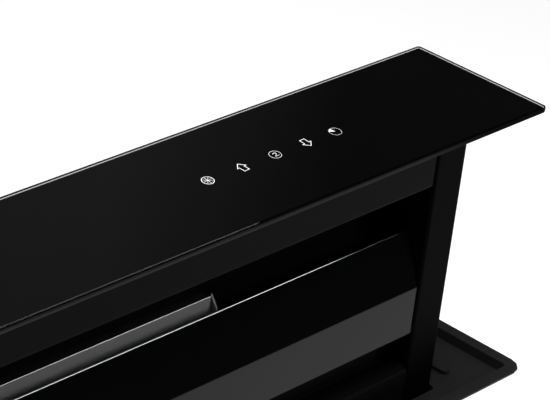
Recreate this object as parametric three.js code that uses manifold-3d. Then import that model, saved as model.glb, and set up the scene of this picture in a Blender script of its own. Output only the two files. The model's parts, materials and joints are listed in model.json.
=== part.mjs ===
// Worktop downdraft vent: a slim extractor tower that rises through a frame in the worktop.
// Millimetres, +X to the right along the glass, +Y to the back, +Z up, standing on its floor brackets.
// The tower is drawn raised; it slides down by `travel` until the glass lies flush in the frame.
import * as THREE from 'three';
import { mergeVertices } from 'three/addons/utils/BufferGeometryUtils.js';
import Module from 'manifold-3d';

const wasm = await Module();
wasm.setup();

// ---------------------------------------------------------------- driving dimensions
const clearance = 0.3; // between pieces that sit on or beside each other
const sheet = 1.5; // folded steel of the tower and housing
const bend = 2.5; // outside bend radius of that sheet
const heavySheet = 3; // brackets that carry the whole vent

const glassWidth = 880;
const glassDepth = 121.5;
const glassThickness = 5;
const glassCorner = 3;
const glassEdge = 1.2; // rounding of its polished edge

const sideOverhang = 59; // glass beyond the tower
const frontOverhang = 20.75;
const postWidth = 31.5;
const fasciaDrop = 41.5; // height of the fascia under the glass
const fasciaSlot = 2.5; // dark slot between the fascia's end and the post
const towerBodyHeight = 235; // glass top to the bottom of the sill
const travel = 216;

const panelThickness = 1.5;
const panelGap = 3; // between the front panel's ends and the posts
const panelTopDrop = 86.6; // drops are measured down from the glass top
const panelBendDrop = 126.9;
const panelBottomDrop = 167;
const panelLean = 14.85; // how far back the upper lip's edge leans
const sillTopDrop = 196;
const sillDepth = 14;

const filterLean = THREE.MathUtils.degToRad(11);
const filterWidth = 328;
const filterHeight = 96;
const filterThickness = 9;
const filterTopDrop = 84.3;
const filterTopY = -10; // front face of the cassette's top edge
const filterBorder = 15;
const cheekDepth = 7;
const cheekTop = 14; // where its end cheeks reach their depth
const cheekTaper = 20;
const windowWidth = 296;
const carrierSheet = 1.2;

const touchPitch = 31; // spacing of the touch symbols
const touchCount = 5;
const touchInset = 219; // middle symbol to the glass's right end
const boardDepth = 46;
const boardMargin = 20; // board past the outer symbols
const boardThickness = 1.6;

const worktopHeight = 640; // worktop surface over the cabinet floor
const lipWidth = 10;
const lipThickness = 1.5;
const recessClearance = 1.5; // glass to the frame's recess
const recessDepth = 8;
const wellClearance = 3; // tower to the frame's well
const padWidth = 8;
const collarDepth = 8;
const wellCorner = 4;

const railRoom = 20; // housing beyond the tower at each end
const depthRoom = 10; // and at the front and back
const housingBottom = 20;
const housingFlange = 11;
const endFlange = 30;
const floorRim = 14;
const beadWidth = 16; // stiffening beads pressed into the long walls
const beadHeight = 2;
const beadEnd = 60; // wall left plain above and below a bead

const gearModule = 2; // lift rack and its pinions
const pinionTeeth = 16;
const pinionWidth = 10;
const rackWidth = 12;
const rackBacking = 11.5; // rack body behind the tooth roots
const rackOverrun = 15; // teeth past both ends of the travel
const shaftRadius = 4;
const pinionDrop = 260; // lift shaft under the frame's lip
const driveModule = 1.5;
const driveTeeth = 24;
const motorTeeth = 12;
const driveGearWidth = 8;
const driveGearX = 64;
const gearboxLength = 26;
const canRadius = 14; // lift motor's can
const canLength = 54;

const legDepth = 34; // front part of each post that carries on below the tower's body
const shoeLength = 40;
const shoeWidth = 20;
const railWidth = 26;
const railDepth = 12.2;
const railMouth = 12;

const wheelRadius = 80;
const wheelWidth = 88;
const bladeCount = 24;
const bladeChord = 14;
const hubLength = 32;
const hubRadius = 11;
const hubFoot = 18; // where the hub flares into the back disc
const tongueRadius = 88;
const scrollRadius = 155;
const scrollDepth = 125;
const scrollWall = 2.5;
const scrollFlange = 8;
const scrollX = -40;
const scrollRise = 170; // scroll centre over the housing's underside
const exitReach = 160; // scroll centre to the scroll's mouth
const inletRadius = 66;
const motorRadius = 46;
const motorLength = 56;
const ductRadius = 74; // outside of the round duct collar
const collarWall = 2;
const adapterLength = 46;
const collarLength = 64;

const footWidth = 36;
const footReach = 145; // floor bracket in front of the housing, past the blower's weight
const footHeel = 10;
const bracketHeight = 90;
const worktopThickness = 40;
const clampHeight = 60;
const clampReach = 34;
const clampDepth = 30;

const boxWidth = 160; // control box
const boxHeight = 120;
const boxDepth = 46;
const boxWall = 2;
const boxCentreX = -110;
const boxDrop = 112; // under the frame's ledge

// ---------------------------------------------------------------- places worked out from them
const lipTop = worktopHeight + lipThickness;
const glassTop = lipTop + travel;
const drop = (distance) => glassTop - distance;
const towerWidth = glassWidth - 2 * sideOverhang;
const towerDepth = glassDepth - 2 * frontOverhang;
const touchCentreX = glassWidth / 2 - touchInset;
const front = -towerDepth / 2;
const back = towerDepth / 2;
const towerEnd = towerWidth / 2;
const postInner = towerEnd - postWidth;
const headTop = drop(glassThickness + clearance);
const headBottom = drop(glassThickness + fasciaDrop);
const headEnd = postInner - fasciaSlot;
const bodyBottom = drop(towerBodyHeight);
const panelEnd = postInner - panelGap;
const panelTop = drop(panelTopDrop);
const panelBottom = drop(panelBottomDrop);
const pivot = new THREE.Vector2(front + 4.5, panelBottom + 3.8);
const sillTop = drop(sillTopDrop);

const ledgeTop = lipTop - recessDepth;
const ledgeBottom = ledgeTop - sheet;
const recessX = glassWidth / 2 + recessClearance;
const recessY = glassDepth / 2 + recessClearance;
const wellX = towerEnd + wellClearance;
const wellY = towerDepth / 2 + wellClearance;
const frameX = recessX + lipWidth;
const frameY = recessY + lipWidth;

const flangeUnder = ledgeBottom - clearance - sheet; // underside of the housing's top flanges
const wallX = towerEnd + railRoom;
const wallY = back + depthRoom;
const floorTop = housingBottom + sheet;

const pinionRadius = (gearModule * pinionTeeth) / 2;
const rackPitchY = front + legDepth + gearModule * 4;
const meshGap = 0.15;
const shaftY = rackPitchY + pinionRadius + meshGap;
const shaftZ = lipTop - pinionDrop;
const rackTop = shaftZ + travel + rackOverrun;
const rackBottom = shaftZ - rackOverrun;
const rackOuterX = towerEnd - sheet - clearance;
const legBottom = rackBottom - 8;
const driveDistance = (driveModule * (driveTeeth + motorTeeth)) / 2 + meshGap;
const motorZ = shaftZ - driveDistance;

const railTop = ledgeBottom - collarDepth - 3;
const railBottom = legBottom - travel - 14;
const railX = wallX - sheet - clearance;
const upperShoeZ = railTop - 5 - shoeLength;
const lowerShoeZ = legBottom + 4;

const scrollZ = housingBottom + scrollRise;
const scrollBack = -wallY - 0.5;
const scrollFront = scrollBack - scrollDepth;
const scrollSplit = (scrollBack + scrollFront) / 2;
const exitX = scrollX + exitReach;
const tongueAngle = Math.PI / 4;
const exitBottom = tongueRadius * Math.sin(tongueAngle);
const exitMiddle = scrollZ + (exitBottom + scrollRadius) / 2;
const wheelFront = scrollFront + scrollWall + 12;
const motorBack = scrollFront - clearance;
const motorFront = motorBack - motorLength;

const footFront = -wallY - footReach;
const footBack = wallY + footHeel;
const clampTop = worktopHeight - worktopThickness;

// ---------------------------------------------------------------- finishes
function finish(color, roughness, metalness, extra = {}) {
  return () => new THREE.MeshStandardMaterial({ color, roughness, metalness, flatShading: true, ...extra });
}

const blackGlass = finish(0x050506, 0.06, 0.1);
const satinBlack = finish(0x0d0d0e, 0.42, 0.35);
const glossBlack = finish(0x060607, 0.1, 0.3);
const brushedSteel = finish(0x8d8e90, 0.34, 0.9);
const meshAluminium = finish(0xa4a6a8, 0.45, 0.9);
const galvanised = finish(0x9a9fa3, 0.5, 0.75);
const steel = finish(0x86898c, 0.3, 0.9);
const blackPlastic = finish(0x141415, 0.6, 0);
const greyPlastic = finish(0x5b5e61, 0.6, 0);
const whitePlastic = finish(0xd9d9d6, 0.5, 0);
const rubber = finish(0x101010, 0.9, 0);
const circuitGreen = finish(0x1f5a36, 0.6, 0);
const lensPlastic = finish(0xe8ecee, 0.25, 0, { transparent: true, opacity: 0.7 });

// ---------------------------------------------------------------- solids
function solidOf(geometry) {
  const bare = geometry.clone();
  bare.deleteAttribute('normal');
  bare.deleteAttribute('uv');
  const merged = mergeVertices(bare, 1e-4);
  return new wasm.Manifold(new wasm.Mesh({
    numProp: 3,
    vertProperties: new Float32Array(merged.attributes.position.array),
    triVerts: new Uint32Array(merged.index.array),
  }));
}

function geometryOf(solid) {
  const { vertProperties, triVerts } = solid.getMesh();
  const geometry = new THREE.BufferGeometry();
  geometry.setAttribute('position', new THREE.BufferAttribute(new Float32Array(vertProperties), 3));
  geometry.setIndex(new THREE.BufferAttribute(new Uint32Array(triVerts), 1));
  geometry.computeVertexNormals();
  return geometry;
}

const join = (...solids) => solids.reduce((whole, piece) => whole.add(piece));
const cut = (whole, ...tools) => tools.reduce((rest, tool) => rest.subtract(tool), whole);

function extrude(shape, length, curveSegments = 6, extra = {}) {
  return new THREE.ExtrudeGeometry(shape, { depth: length, bevelEnabled: false, curveSegments, ...extra });
}

// A shape drawn in (y, z), (x, z) or (x, y) and pulled along the third axis between two places.
function pulled(shape, start, end, curveSegments, arrange) {
  const geometry = extrude(shape, 1, curveSegments);
  const positions = geometry.attributes.position;
  for (let index = 0; index < positions.count; index += 1) {
    const along = positions.getZ(index) > 0.5 ? end : start;
    positions.setXYZ(index, ...arrange(positions.getX(index), positions.getY(index), along));
  }
  return solidOf(geometry);
}

function alongX(shape, from, to, curveSegments) {
  return pulled(shape, from, to, curveSegments, (a, b, along) => [along, a, b]);
}

function alongY(shape, from, to, curveSegments) {
  return pulled(shape, to, from, curveSegments, (a, b, along) => [a, along, b]);
}

function alongZ(shape, from, to, curveSegments) {
  return pulled(shape, from, to, curveSegments, (a, b, along) => [a, b, along]);
}

function block([x0, x1], [y0, y1], [z0, z1]) {
  const geometry = new THREE.BoxGeometry(x1 - x0, y1 - y0, z1 - z0);
  return solidOf(geometry.translate((x0 + x1) / 2, (y0 + y1) / 2, (z0 + z1) / 2));
}

// A turned piece: (radius, place) pairs from axis to axis, spun about a line along X, Y or Z.
function turned(profile, segments, axis, centre = [0, 0, 0]) {
  const points = profile.map(([radius, place]) => new THREE.Vector2(radius, place));
  const geometry = new THREE.LatheGeometry(points, segments);
  if (axis === 'x') geometry.rotateZ(-Math.PI / 2);
  if (axis === 'z') geometry.rotateX(Math.PI / 2);
  return solidOf(geometry.translate(...centre));
}

function rod(radius, from, to, segments, axis, centre) {
  return turned([[0, from], [radius, from], [radius, to], [0, to]], segments, axis, centre);
}

function tube(outer, inner, from, to, segments, axis, centre) {
  const profile = [[inner, from], [outer, from], [outer, to], [inner, to], [inner, from]];
  return turned(profile, segments, axis, centre);
}

function polygon(points) {
  return new THREE.Shape(points.map(([a, b]) => new THREE.Vector2(a, b)));
}

function roundedRectangle(a0, a1, b0, b1, radius) {
  const shape = new THREE.Shape();
  shape.absarc(a1 - radius, b1 - radius, radius, 0, Math.PI / 2);
  shape.absarc(a0 + radius, b1 - radius, radius, Math.PI / 2, Math.PI);
  shape.absarc(a0 + radius, b0 + radius, radius, Math.PI, 1.5 * Math.PI);
  shape.absarc(a1 - radius, b0 + radius, radius, 1.5 * Math.PI, 2 * Math.PI);
  return shape;
}

// The section of folded sheet. The corners trace one face; the metal lies to their left,
// or to their right where the thickness is negative. Bends are rounded on the traced face.
function foldedSection(corners, thickness, radius = bend, steps = 3) {
  const points = corners.map(([a, b]) => new THREE.Vector2(a, b));
  const leftOf = (way) => new THREE.Vector2(-way.y, way.x);
  const wayFrom = (index) => points[index + 1].clone().sub(points[index]).normalize();
  const stations = [{ at: points[0], side: leftOf(wayFrom(0)) }];
  for (let index = 1; index < points.length - 1; index += 1) {
    const into = wayFrom(index - 1);
    const turn = Math.atan2(into.cross(wayFrom(index)), into.dot(wayFrom(index)));
    const hand = Math.sign(turn);
    const setback = radius * Math.tan(Math.abs(turn) / 2);
    const start = points[index].clone().addScaledVector(into, -setback);
    const centre = start.clone().addScaledVector(leftOf(into), hand * radius);
    for (let step = 0; step <= steps; step += 1) {
      const side = leftOf(into).rotateAround(new THREE.Vector2(), (turn * step) / steps);
      stations.push({ at: centre.clone().addScaledVector(side, -hand * radius), side });
    }
  }
  const last = points.length - 1;
  stations.push({ at: points[last], side: leftOf(wayFrom(last - 1)) });
  const otherFace = stations.map(({ at, side }) => at.clone().addScaledVector(side, thickness));
  return new THREE.Shape([...stations.map(({ at }) => at), ...otherFace.reverse()]);
}

// A closed ring: each row is a rounded rectangle [halfX, halfY, radius, z], and the rows run round
// the ring's section anticlockwise, seen with the ring's inside on the left.
function ringOf(rows, steps = 3) {
  const corners = [[1, 1], [-1, 1], [-1, -1], [1, -1]];
  const positions = rows.flatMap(([halfX, halfY, radius, z]) => corners.flatMap(([signX, signY], corner) => (
    Array.from({ length: steps + 1 }, (_, step) => {
      const angle = ((corner + step / steps) * Math.PI) / 2;
      return [
        signX * (halfX - radius) + radius * Math.cos(angle),
        signY * (halfY - radius) + radius * Math.sin(angle), z,
      ];
    })))).flat();
  const count = corners.length * (steps + 1);
  const index = rows.flatMap((_, row) => Array.from({ length: count }, (__, point) => {
    const here = row * count;
    const there = ((row + 1) % rows.length) * count;
    const next = (point + 1) % count;
    return [here + point, here + next, there + next, here + point, there + next, there + point];
  })).flat();
  const geometry = new THREE.BufferGeometry();
  geometry.setAttribute('position', new THREE.Float32BufferAttribute(positions, 3));
  geometry.setIndex(index);
  return solidOf(geometry);
}

// A body that runs along X through [place, outline] stations; the outlines have equal counts of (y, z).
function lofted(stations) {
  const count = stations[0][1].length;
  const middle = (outline) => outline.reduce(([a, b], [y, z]) => [a + y / count, b + z / count], [0, 0]);
  const positions = stations.flatMap(([x, outline]) => outline.flatMap(([y, z]) => [x, y, z]));
  const index = [];
  const ends = [stations[0], stations[stations.length - 1]];
  ends.forEach(([x, outline]) => positions.push(x, ...middle(outline)));
  const nearCentre = stations.length * count;
  const farRow = (stations.length - 1) * count;
  for (let point = 0; point < count; point += 1) {
    const next = (point + 1) % count;
    for (let row = 0; row < farRow; row += count) {
      index.push(row + point, row + count + next, row + count + point);
      index.push(row + point, row + next, row + count + next);
    }
    index.push(nearCentre, next, point, nearCentre + 1, farRow + point, farRow + next);
  }
  const geometry = new THREE.BufferGeometry();
  geometry.setAttribute('position', new THREE.Float32BufferAttribute(positions, 3));
  geometry.setIndex(index);
  return solidOf(geometry);
}

// ---------------------------------------------------------------- gears
// Spur gear outline with involute flanks (20 degrees), short teeth and a little backlash.
const pressureAngle = THREE.MathUtils.degToRad(20);
const toothBacklash = 0.25;
const addendum = 0.8;
const dedendum = 1.15;

function gearShape(teeth, module, flankSteps = 1) {
  const pitchRadius = (module * teeth) / 2;
  const baseRadius = pitchRadius * Math.cos(pressureAngle);
  const tipRadius = pitchRadius + addendum * module;
  const rootRadius = pitchRadius - dedendum * module;
  const involute = (angle) => Math.tan(angle) - angle;
  const halfAtPitch = Math.PI / (2 * teeth) - toothBacklash / (2 * pitchRadius);
  const halfAt = (radius) => halfAtPitch + involute(pressureAngle)
    - involute(Math.acos(Math.min(1, baseRadius / radius)));
  const startRadius = Math.max(baseRadius, rootRadius);
  const flank = [[rootRadius, halfAt(startRadius)]];
  for (let step = 0; step <= flankSteps; step += 1) {
    const radius = startRadius + ((tipRadius - startRadius) * step) / flankSteps;
    if (radius > rootRadius) flank.push([radius, halfAt(radius)]);
  }
  const points = [];
  for (let tooth = 0; tooth < teeth; tooth += 1) {
    const middle = (2 * Math.PI * (tooth + 0.5)) / teeth;
    flank.forEach(([radius, half]) => points.push([radius, middle - half]));
    [...flank].reverse().forEach(([radius, half]) => points.push([radius, middle + half]));
  }
  return polygon(points.map(([radius, angle]) => [radius * Math.cos(angle), radius * Math.sin(angle)]));
}

// Gear on an axis along X at (y, z). Turned by `phase`, a tooth gap faces that way in the Y-Z plane.
function gear(teeth, module, width, hubRadius, boreRadius, x, phase) {
  const hubWidth = 4;
  const wheel = alongX(gearShape(teeth, module), -width / 2, width / 2);
  const hub = rod(hubRadius, width / 2 - 1, width / 2 + hubWidth, 14, 'x');
  const bore = rod(boreRadius, -width, width + hubWidth, 14, 'x');
  const turn = THREE.MathUtils.radToDeg(phase);
  return cut(join(wheel, hub), bore).rotate([turn, 0, 0]).translate([x, 0, 0]);
}

function rackShape() {
  const pitch = Math.PI * gearModule;
  const rise = addendum * gearModule;
  const fall = dedendum * gearModule;
  const half = pitch / 4 - toothBacklash / 2;
  const spread = Math.tan(pressureAngle);
  const below = Math.floor((shaftZ - rackBottom) / pitch);
  const above = Math.floor((rackTop - shaftZ) / pitch);
  const rootY = rackPitchY - fall;
  const points = [[rootY - rackBacking, rackBottom], [rootY, rackBottom]];
  for (let tooth = -below; tooth <= above; tooth += 1) {
    const middle = shaftZ + tooth * pitch;
    points.push([rootY, middle - half - fall * spread], [rackPitchY + rise, middle - half + rise * spread]);
    points.push([rackPitchY + rise, middle + half - rise * spread], [rootY, middle + half + fall * spread]);
  }
  points.push([rootY, rackTop], [rootY - rackBacking, rackTop]);
  return polygon(points);
}

// ---------------------------------------------------------------- tower: head
function topGlass() {
  const outline = roundedRectangle(
    -glassWidth / 2, glassWidth / 2, -glassDepth / 2, glassDepth / 2, glassCorner);
  const plate = extrude(outline, glassThickness - 2 * glassEdge, 3, {
    bevelEnabled: true, bevelThickness: glassEdge, bevelSize: glassEdge, bevelOffset: -glassEdge,
    bevelSegments: 2,
  });
  return solidOf(plate.translate(0, 0, drop(glassThickness - glassEdge)));
}

const boardWidth = (touchCount - 1) * touchPitch + 2 * boardMargin;
const boardX = [touchCentreX - boardWidth / 2, touchCentreX + boardWidth / 2];
const headReturn = 12; // bottom returns of the head channel
const headBack = back - sheet - 1;

function headChannel() {
  const section = foldedSection([
    [front + headReturn, headBottom], [front, headBottom], [front, headTop],
    [headBack, headTop], [headBack, headBottom], [headBack - headReturn, headBottom],
  ], -sheet);
  const window = block(
    [boardX[0] - clearance, boardX[1] + clearance],
    [-boardDepth / 2 - clearance, boardDepth / 2 + clearance], [headTop - 5, headTop + 5]);
  return cut(alongX(section, -headEnd, headEnd), window);
}

const coverFront = front + sheet + 2;
const coverBack = headBack - sheet - 2;
const coverBottom = headBottom + sheet + clearance; // it lies on the channel's returns
const coverRim = 9;
const lensHalf = 300;
const lensY = [front + headReturn + 4, front + headReturn + 14];

function headCover() {
  const section = foldedSection([
    [coverFront, coverBottom + coverRim], [coverFront, coverBottom],
    [coverBack, coverBottom], [coverBack, coverBottom + coverRim],
  ], sheet);
  const slot = block([-lensHalf, lensHalf], lensY, [coverBottom - 5, coverBottom + 5]);
  return cut(alongX(section, -headEnd, headEnd), slot);
}

function ledLens() {
  const middle = (lensY[0] + lensY[1]) / 2;
  const half = (lensY[1] - lensY[0]) / 2;
  const seat = coverBottom + sheet + clearance;
  const section = polygon([
    [middle - half + clearance, coverBottom - 1], [middle + half - clearance, coverBottom - 1],
    [middle + half - clearance, seat], [middle + half + 2, seat], [middle + half + 2, seat + 2],
    [middle - half - 2, seat + 2], [middle - half - 2, seat], [middle - half + clearance, seat],
  ]);
  return alongX(section, -lensHalf + clearance, lensHalf - clearance);
}

function touchBoard() {
  const top = headTop;
  const board = block(boardX, [-boardDepth / 2, boardDepth / 2], [top - boardThickness, top]);
  const under = top - boardThickness - 3;
  const pads = Array.from({ length: touchCount }, (_, index) => {
    const x = touchCentreX + (index - (touchCount - 1) / 2) * touchPitch;
    return rod(5, under, top - 0.5, 6, 'z', [x, 0, 0]);
  });
  const chip = block([touchCentreX - 7, touchCentreX + 7], [10, 20], [under + 1, top - 0.5]);
  const plug = block([boardX[0] + 3, boardX[0] + 11], [-18, -4], [under - 2, top - 0.5]);
  return join(board, ...pads, chip, plug);
}

function headBracket() {
  const outer = postInner - clearance;
  const under = headTop - sheet - clearance;
  const section = foldedSection([[outer, headBottom + 6], [outer, under], [outer - 26, under]], sheet);
  const gusset = alongY(polygon([
    [outer - 0.5, under - 0.5], [outer - 22, under - 0.5], [outer - 0.5, under - 20],
  ]), -1, 1);
  return join(alongY(section, front + 12, headBack - 12), gusset);
}

// ---------------------------------------------------------------- tower: body
function post() {
  const outer = roundedRectangle(postInner, towerEnd, front, back, bend);
  const inner = roundedRectangle(postInner + sheet, towerEnd - sheet, front + sheet, back - sheet, 1);
  outer.holes.push(inner);
  const whole = alongZ(outer, legBottom, headTop, 3);
  const behindLeg = block(
    [postInner - 5, towerEnd + 5], [front + legDepth, back + 5], [legBottom - 5, bodyBottom]);
  return cut(whole, behindLeg);
}

function backPanel() {
  const end = postInner - clearance;
  const section = foldedSection([[-end, back - 12], [-end, back], [end, back], [end, back - 12]], -sheet);
  const sheetPiece = alongZ(section, bodyBottom, headTop);
  const headRoom = block([-headEnd - 3, headEnd + 3], [0, back - sheet], [headBottom - 6, headTop + 5]);
  return cut(sheetPiece, headRoom);
}

function frontSill() {
  const section = foldedSection([
    [front + sillDepth, sillTop], [front, sillTop], [front, bodyBottom], [front + sillDepth, bodyBottom],
  ], sheet);
  return alongX(section, -postInner + clearance, postInner - clearance);
}

function frontPanel() {
  const section = foldedSection([
    [front + 5, panelBottom], [front, panelBottom], [front, drop(panelBendDrop)],
    [front + panelLean, panelTop],
  ], -panelThickness, bend, 3);
  const plate = alongX(section, -panelEnd, panelEnd);
  const ear = roundedRectangle(front + 0.5, pivot.x + 4, panelBottom + 0.4, pivot.y + 4.5, 3);
  const ears = [-1, 1].map((side) => {
    const [a, b] = [side * panelEnd, side * (panelEnd - panelThickness)].sort((p, q) => p - q);
    return alongX(ear, a, b, 2);
  });
  const pinRoom = rod(pinRadius + clearance, -panelEnd - 2, panelEnd + 2, 12, 'x', [0, pivot.x, pivot.y]);
  return cut(join(plate, ...ears), pinRoom);
}

const pinRadius = 1.8;

function panelPin() {
  const seat = postInner - clearance;
  return turned([
    [0, panelEnd - 5], [pinRadius - 0.6, panelEnd - 5], [pinRadius, panelEnd - 4], [pinRadius, seat - 1.2],
    [4, seat - 1.2], [4, seat], [0, seat],
  ], 12, 'x', [0, pivot.x, pivot.y]);
}

function panelCatch() {
  const seat = postInner - clearance;
  const low = drop(panelBendDrop) - 18;
  const high = drop(panelBendDrop) - 4;
  const face = front + panelThickness + clearance;
  const section = foldedSection([[seat, face + 12], [seat, face + 1.5], [seat - 16, face + 1.5]], -sheet, 2);
  const magnet = rod(5, face, face + 2.5, 16, 'y', [seat - 10, 0, (low + high) / 2]);
  return join(alongZ(section, low, high), magnet);
}

// ---------------------------------------------------------------- tower: filter and its carrier
// The cassette is drawn upright with its front face at y = 0 and its top at z = 0, then leant back.
const leanBack = THREE.MathUtils.radToDeg(-filterLean);
const leant = (solid) => solid.rotate([leanBack, 0, 0]).translate([0, filterTopY, drop(filterTopDrop)]);
const slopeY = (distance, out) => filterTopY - (distance - filterTopDrop) * Math.tan(filterLean)
  - out / Math.cos(filterLean);

function filterCarrier() {
  const behind = -filterThickness - clearance - carrierSheet;
  const seatDrop = sillTopDrop - clearance;
  const topDrop = glassThickness + fasciaDrop + clearance + carrierSheet;
  const section = foldedSection([
    [front + 3, drop(seatDrop)], [slopeY(seatDrop, behind), drop(seatDrop)],
    [slopeY(topDrop, behind), drop(topDrop)], [headBack - 2, drop(topDrop)],
  ], carrierSheet, 2, 2);
  const plate = alongX(section, -postInner + clearance, postInner - clearance);
  const window = leant(alongY(roundedRectangle(
    -windowWidth / 2, windowWidth / 2, -filterHeight + filterBorder + 3, -filterBorder - 3, 8,
  ), 0, 3 * filterThickness, 2));
  return cut(plate, window);
}

const railHook = 5;

function filterRail() {
  const low = -filterHeight - clearance;
  const hookBend = 2;
  const section = foldedSection([
    [filterThickness, low - 12], [filterThickness, low], [-hookBend, low], [-hookBend, low + railHook],
  ], carrierSheet, hookBend, 2);
  return leant(alongX(section, -windowWidth / 2, windowWidth / 2));
}

function filterFrame() {
  const half = filterWidth / 2;
  const rim = roundedRectangle(-half, half, -filterHeight, 0, 2);
  const opening = roundedRectangle(
    -half + filterBorder, half - filterBorder, -filterHeight + filterBorder, -filterBorder, 4);
  const pocket = roundedRectangle(-half + 2, half - 2, -filterHeight + 2, -2, 0.5);
  const body = cut(
    alongY(rim, 0, filterThickness, 2), alongY(opening, -1, filterThickness + 1, 2),
    alongY(pocket, 1.2, filterThickness - 1.2, 2));
  const cheek = polygon([
    [0.5, 1.5], [0, 1.5], [-cheekDepth, -cheekTop], [-cheekDepth, -2 * cheekTop],
    [-2, -filterHeight + cheekTaper], [-2, -filterHeight + 2], [0.5, -filterHeight + 2],
  ]);
  const cheeks = [-half, half - 1.2].map((x) => alongX(cheek, x, x + 1.2));
  return leant(join(body, ...cheeks));
}

// Folded baffle core: a zigzag sheet inside the cassette.
function filterCore() {
  const half = filterWidth / 2 - 2 - clearance;
  const near = 1.2 + clearance;
  const far = filterThickness - 1.2 - clearance;
  const pitch = 12;
  const folds = Math.floor((2 * half) / pitch);
  const zigzag = [];
  for (let fold = 0; fold <= folds; fold += 1) {
    zigzag.push([-half + fold * pitch, fold % 2 ? far - 0.9 : near]);
  }
  const outline = [...zigzag, ...[...zigzag].reverse().map(([x, y]) => [x, y + 0.9])];
  const core = alongZ(polygon(outline), -filterHeight + 2 + clearance, -2 - clearance);
  return leant(core);
}

// ---------------------------------------------------------------- lift
function rack() {
  return alongX(rackShape(), rackOuterX - rackWidth, rackOuterX);
}

const pinionX = rackOuterX - rackWidth / 2;
const towardRack = Math.PI; // the rack lies on the -Y side of the pinion

function liftPinion() {
  return gear(pinionTeeth, gearModule, pinionWidth, 8, shaftRadius + clearance, 0, towardRack)
    .mirror([1, 0, 0]).translate([pinionX, shaftY, shaftZ]);
}

function driveGear() {
  return gear(driveTeeth, driveModule, driveGearWidth, 9, shaftRadius + clearance, driveGearX, -Math.PI / 2)
    .translate([0, shaftY, shaftZ]);
}

const motorFace = driveGearX + driveGearWidth / 2 + 4;
const outputRadius = 3;
const halfTooth = Math.PI / motorTeeth;

function motorGear() {
  const wheel = alongX(gearShape(motorTeeth, driveModule), -driveGearWidth / 2, driveGearWidth / 2)
    .rotate([THREE.MathUtils.radToDeg(Math.PI / 2 + halfTooth), 0, 0]).translate([driveGearX, 0, 0]);
  const stub = rod(outputRadius, driveGearX, motorFace + 12, 12, 'x');
  return join(wheel, stub).translate([0, shaftY, motorZ]);
}

function crossShaft() {
  const end = wallX - 1;
  return turned([
    [0, -end], [shaftRadius - 0.8, -end], [shaftRadius, -end + 1], [shaftRadius, end - 1],
    [shaftRadius - 0.8, end], [0, end],
  ], 14, 'x', [0, shaftY, shaftZ]);
}

const bushRadius = 7;

function shaftBush() {
  const inner = shaftRadius + clearance;
  const face = wallX - sheet - clearance;
  return turned([
    [inner, face - 4], [bushRadius + 3, face - 4], [bushRadius + 3, face], [bushRadius - clearance, face],
    [bushRadius - clearance, wallX + 1], [inner, wallX + 1], [inner, face - 4],
  ], 14, 'x', [0, shaftY, shaftZ]);
}

const gearboxRadius = 16;

function liftMotor() {
  const gearboxEnd = motorFace + sheet + gearboxLength;
  const canEnd = gearboxEnd + canLength;
  const body = turned([
    [0, motorFace], [6, motorFace], [6, motorFace + sheet + clearance],
    [gearboxRadius, motorFace + sheet + clearance], [gearboxRadius, gearboxEnd], [canRadius, gearboxEnd + 1],
    [canRadius, canEnd - 3], [canRadius - 3, canEnd], [5, canEnd], [5, canEnd + 3], [0, canEnd + 3],
  ], 16, 'x');
  const bore = rod(outputRadius + clearance, motorFace - 1, motorFace + 12.5, 12, 'x');
  return cut(body, bore).translate([0, shaftY, motorZ]);
}

function motorBracket() {
  const wall = wallY - sheet - clearance;
  const section = foldedSection([
    [motorFace, shaftY - gearboxRadius - 4], [motorFace, wall], [motorFace + 30, wall],
  ], -sheet);
  const plate = alongZ(section, motorZ - gearboxRadius - 3, motorZ + gearboxRadius + 1);
  const bossRoom = rod(6 + clearance, motorFace - 2, motorFace + 4, 20, 'x', [0, shaftY, motorZ]);
  return cut(plate, bossRoom);
}

const railY = front + sheet + clearance + railWidth / 2;

function guideRail() {
  const [low, high] = [railY - railWidth / 2, railY + railWidth / 2];
  const near = railX - railDepth;
  const section = foldedSection([
    [near, railY - railMouth / 2], [near, low], [railX, low], [railX, high], [near, high],
    [near, railY + railMouth / 2],
  ], sheet, 1.8, 2);
  return alongZ(section, railBottom, railTop);
}

const railPlay = 0.5;

function guideShoe(bottom) {
  const seat = towerEnd + clearance;
  const mouthFace = railX - railDepth;
  const plateEnd = mouthFace - railPlay;
  const neck = railMouth / 2 - railPlay;
  const head = railWidth / 2 - sheet - railPlay;
  const headStart = mouthFace + sheet + railPlay;
  const headEnds = railX - sheet - railPlay;
  const outline = polygon([
    [seat, -shoeWidth / 2], [plateEnd, -shoeWidth / 2], [plateEnd, -neck], [headStart, -neck],
    [headStart, -head], [headEnds, -head], [headEnds, head], [headStart, head], [headStart, neck],
    [plateEnd, neck], [plateEnd, shoeWidth / 2], [seat, shoeWidth / 2],
  ].map(([x, y]) => [x, y + railY]));
  return alongZ(outline, bottom, bottom + shoeLength);
}

// ---------------------------------------------------------------- frame and housing
function worktopFrame() {
  const recess = (z, grow = 0) => [recessX + grow, recessY + grow, glassCorner + grow, z];
  const well = (z, grow = 0) => [wellX + grow, wellY + grow, wellCorner + grow, z];
  return ringOf([
    recess(lipTop), recess(ledgeTop), well(ledgeTop), well(ledgeBottom - collarDepth),
    well(ledgeBottom - collarDepth, sheet), well(ledgeBottom, sheet), recess(ledgeBottom, sheet),
    recess(worktopHeight, sheet), recess(worktopHeight, lipWidth), recess(lipTop, lipWidth),
  ]);
}

function restPad() {
  const height = recessDepth - glassThickness - clearance;
  const middle = towerEnd + (sideOverhang - padWidth) / 2;
  const end = front + padWidth / 2;
  const outline = roundedRectangle(
    middle - padWidth / 2, middle + padWidth / 2, end, -end, padWidth / 2 - 0.1);
  return alongZ(outline, ledgeTop + clearance, ledgeTop + height, 3);
}

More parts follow.
